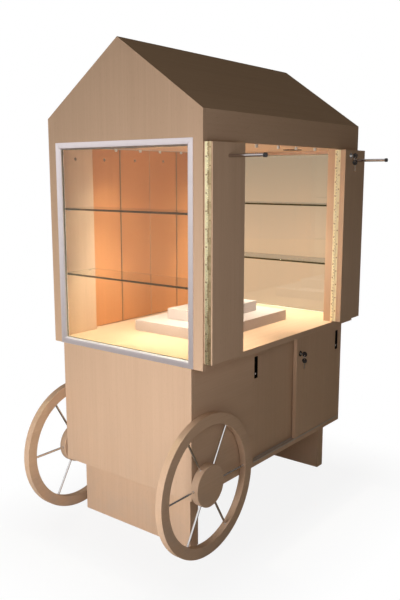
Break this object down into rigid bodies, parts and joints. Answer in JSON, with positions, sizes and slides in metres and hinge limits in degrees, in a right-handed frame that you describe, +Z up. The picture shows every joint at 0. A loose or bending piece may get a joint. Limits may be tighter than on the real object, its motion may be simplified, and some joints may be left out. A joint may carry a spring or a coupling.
{
  "type": "cheese trolley",
  "caption": "Gable-roofed cheese display trolley with bi-fold doors, glazed ends, shelves and podium over a sliding-door cupboard on plinths, with a spoked wheel each side.",
  "frame": {"origin": "bottom centre of the trolley's box at rest, on the floor", "axes": "+Z up, +X along the long side from the wheel end to the far end, +Y from the open front to the back"},
  "size_m": [1.4139, 1.0081, 1.978],
  "materials": {
    "maple_board": "satin light laminate boards",
    "podium_board": "satin light laminate",
    "frame_aluminium": "satin anodised",
    "window_glass": "clear polished",
    "shelf_glass": "clear, green at the edges",
    "hinge_brass": "satin rolled brass",
    "bright_chrome": "polished",
    "lock_nickel": "polished nickel",
    "key_black": "moulded key heads",
    "lamp_black": "satin black",
    "lamp_lens": "frosted",
    "nylon": "moulded",
    "steel": "bright drawn",
    "track_aluminium": "mill finish",
    "wheel_wood": "satin laminated wood"
  },
  "bodies": {
    "case": {"gable_panel_near": "maple_board", "gable_panel_far": "maple_board", "roof_panels": "maple_board", "fascias": "maple_board", "ceiling_panel": "maple_board", "corner_posts": "maple_board", "worktop": "maple_board", "podium": "podium_board", "window_frames": "frame_aluminium", "window_glasses": "window_glass", "glass_shelves": "shelf_glass", "shelf_pins": "steel", "downlight_cans": "lamp_black", "downlight_lenses": "lamp_lens", "door_stops": "nylon", "jamb_hinges": "hinge_brass", "base_uprights": "maple_board", "base_side_fixed": "maple_board", "base_back": "maple_board", "base_floor": "maple_board", "door_tracks": "track_aluminium", "plinths": "maple_board", "axle": "steel"},
    "front_near_hinged": {"front_near_hinged_leaf": "maple_board", "front_near_leaf_hinges": "hinge_brass"},
    "front_near_free": {"front_near_free_leaf": "maple_board", "front_near_fold_plate": "hinge_brass", "front_near_peg": "bright_chrome"},
    "front_far_hinged": {"front_far_hinged_leaf": "maple_board", "front_far_leaf_hinges": "hinge_brass"},
    "front_far_free": {"front_far_free_leaf": "maple_board", "front_far_fold_plate": "hinge_brass", "front_far_peg": "bright_chrome", "front_case_lock": "lock_nickel"},
    "back_near_hinged": {"back_near_hinged_leaf": "maple_board", "back_near_leaf_hinges": "hinge_brass"},
    "back_near_free": {"back_near_free_leaf": "maple_board", "back_near_fold_plate": "hinge_brass", "back_case_lock": "lock_nickel"},
    "back_far_hinged": {"back_far_hinged_leaf": "maple_board", "back_far_leaf_hinges": "hinge_brass"},
    "back_far_free": {"back_far_free_leaf": "maple_board", "back_far_fold_plate": "hinge_brass"},
    "front_case_plug": {"front_case_lock_plug": "lock_nickel", "case_keys": "key_black"},
    "back_case_plug": {"back_case_lock_plug": "lock_nickel"},
    "near_sliding_door": {"sliding_door_near": "maple_board", "near_door_pull": "bright_chrome", "base_lock_strike": "steel"},
    "far_sliding_door": {"sliding_door_far": "maple_board", "far_door_pull": "bright_chrome", "base_lock": "lock_nickel"},
    "base_plug": {"base_lock_plug": "lock_nickel", "base_keys": "key_black"},
    "front_wheel": {"front_wheel_rim": "wheel_wood", "front_wheel_hub": "wheel_wood", "front_wheel_spokes": "bright_chrome"},
    "back_wheel": {"back_wheel_rim": "wheel_wood", "back_wheel_hub": "wheel_wood", "back_wheel_spokes": "bright_chrome"}
  },
  "joints": [
    {"name": "front_near_jamb", "type": "hinge", "parent": "case", "child": "front_near_hinged", "pos_m": [-0.2935, -0.30915, 1.188], "axis": [0, 0, 1], "range_deg": [0, 180]},
    {"name": "front_near_fold", "type": "hinge", "parent": "front_near_hinged", "child": "front_near_free", "pos_m": [-0.492, -0.32875, 1.188], "axis": [0, 0, -1], "range_deg": [0, 180]},
    {"name": "front_far_jamb", "type": "hinge", "parent": "case", "child": "front_far_hinged", "pos_m": [0.5035, -0.30915, 1.188], "axis": [0, 0, -1], "range_deg": [0, 180]},
    {"name": "front_far_fold", "type": "hinge", "parent": "front_far_hinged", "child": "front_far_free", "pos_m": [0.702, -0.32875, 1.188], "axis": [0, 0, 1], "range_deg": [0, 180]},
    {"name": "back_near_jamb", "type": "hinge", "parent": "case", "child": "back_near_hinged", "pos_m": [-0.2935, 0.50145, 1.188], "axis": [0, 0, 1], "range_deg": [0, 180]},
    {"name": "back_near_fold", "type": "hinge", "parent": "back_near_hinged", "child": "back_near_free", "pos_m": [-0.095, 0.48185, 1.188], "axis": [0, 0, -1], "range_deg": [0, 180]},
    {"name": "back_far_jamb", "type": "hinge", "parent": "case", "child": "back_far_hinged", "pos_m": [0.5035, 0.50145, 1.188], "axis": [0, 0, -1], "range_deg": [0, 180]},
    {"name": "back_far_fold", "type": "hinge", "parent": "back_far_hinged", "child": "back_far_free", "pos_m": [0.305, 0.48185, 1.188], "axis": [0, 0, 1], "range_deg": [0, 180]},
    {"name": "front_case_key_turn", "type": "hinge", "parent": "front_far_free", "child": "front_case_plug", "pos_m": [0.5535, -0.34805, 1.558], "axis": [0, 1, 0], "range_deg": [0, 90]},
    {"name": "back_case_key_turn", "type": "hinge", "parent": "back_near_free", "child": "back_case_plug", "pos_m": [0.0535, 0.50115, 1.558], "axis": [0, -1, 0], "range_deg": [0, 90]},
    {"name": "near_door_slide", "type": "slide", "parent": "case", "child": "near_sliding_door", "axis": [1, 0, 0], "range_m": [0, 0.3]},
    {"name": "far_door_slide", "type": "slide", "parent": "case", "child": "far_sliding_door", "axis": [-1, 0, 0], "range_m": [0, 0.3]},
    {"name": "base_key_turn", "type": "hinge", "parent": "far_sliding_door", "child": "base_plug", "pos_m": [0.305, -0.25385, 0.664], "axis": [0, -1, 0], "range_deg": [0, 90]},
    {"name": "front_wheel_spin", "type": "hinge", "parent": "case", "child": "front_wheel", "pos_m": [-0.421, -0.27185, 0.288], "axis": [0, 1, 0], "continuous": true},
    {"name": "back_wheel_spin", "type": "hinge", "parent": "case", "child": "back_wheel", "pos_m": [-0.421, 0.46415, 0.288], "axis": [0, 1, 0], "continuous": true}
  ],
  "couplings": [
    {"joint": "front_near_fold", "follows": "front_near_jamb", "ratio": 1},
    {"joint": "front_far_fold", "follows": "front_far_jamb", "ratio": 1},
    {"joint": "back_near_fold", "follows": "back_near_jamb", "ratio": 1},
    {"joint": "back_far_fold", "follows": "back_far_jamb", "ratio": 1}
  ]
}
